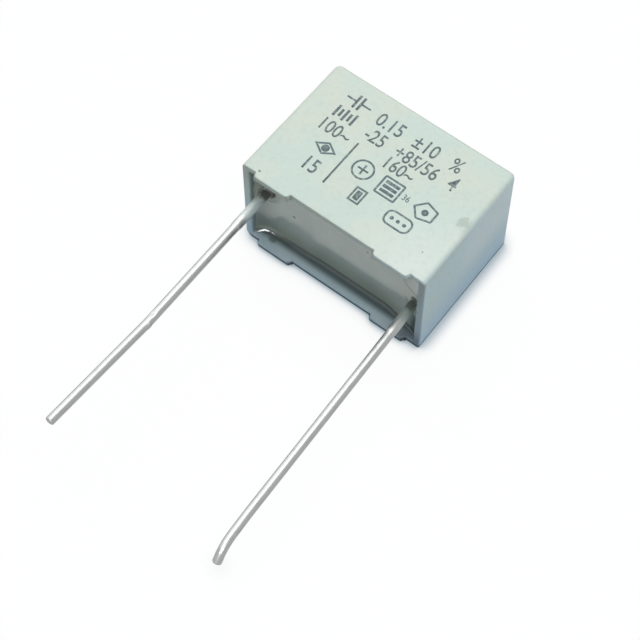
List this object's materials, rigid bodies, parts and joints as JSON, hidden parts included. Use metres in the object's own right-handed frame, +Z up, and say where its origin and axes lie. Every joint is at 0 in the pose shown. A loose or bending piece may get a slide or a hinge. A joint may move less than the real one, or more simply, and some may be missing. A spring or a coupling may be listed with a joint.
{
  "type": "box film capacitor",
  "caption": "Box film capacitor: moulded plastic case open at the lead side, resin fill over a wound film element, standoff feet and radial wire leads.",
  "frame": {"origin": "in the plane of the foot tips (the seating plane), midway between the leads, at the lower large face that the part lies on", "axes": "+X along the lead pitch, +Y from the feet to the closed end, away from the leads, +Z up through the thickness, from the face it lies on to the printed face"},
  "size_m": [0.018, 0.0378, 0.011],
  "materials": {
    "case_plastic": "pale grey-green moulded plastic, fine satin texture",
    "potting_resin": "grey cast resin, smooth semi-gloss, meniscus at the walls",
    "metallised_film": "wound metallised film, silvery",
    "plain_film": "clear film wrap",
    "sprayed_metal": "sprayed zinc, rough and matt",
    "solder": "solder, satin",
    "tinned_wire": "bright tinned wire with handling marks",
    "print_ink": "thin grey-blue ink"
  },
  "bodies": {
    "root": {"case": "case_plastic", "potting_resin": "potting_resin", "film_winding": "metallised_film", "film_wrap": "plain_film", "end_spray_left": "sprayed_metal", "end_spray_right": "sprayed_metal", "solder_left": "solder", "solder_right": "solder", "lead_left": "tinned_wire", "lead_right": "tinned_wire"}
  },
  "joints": []
}
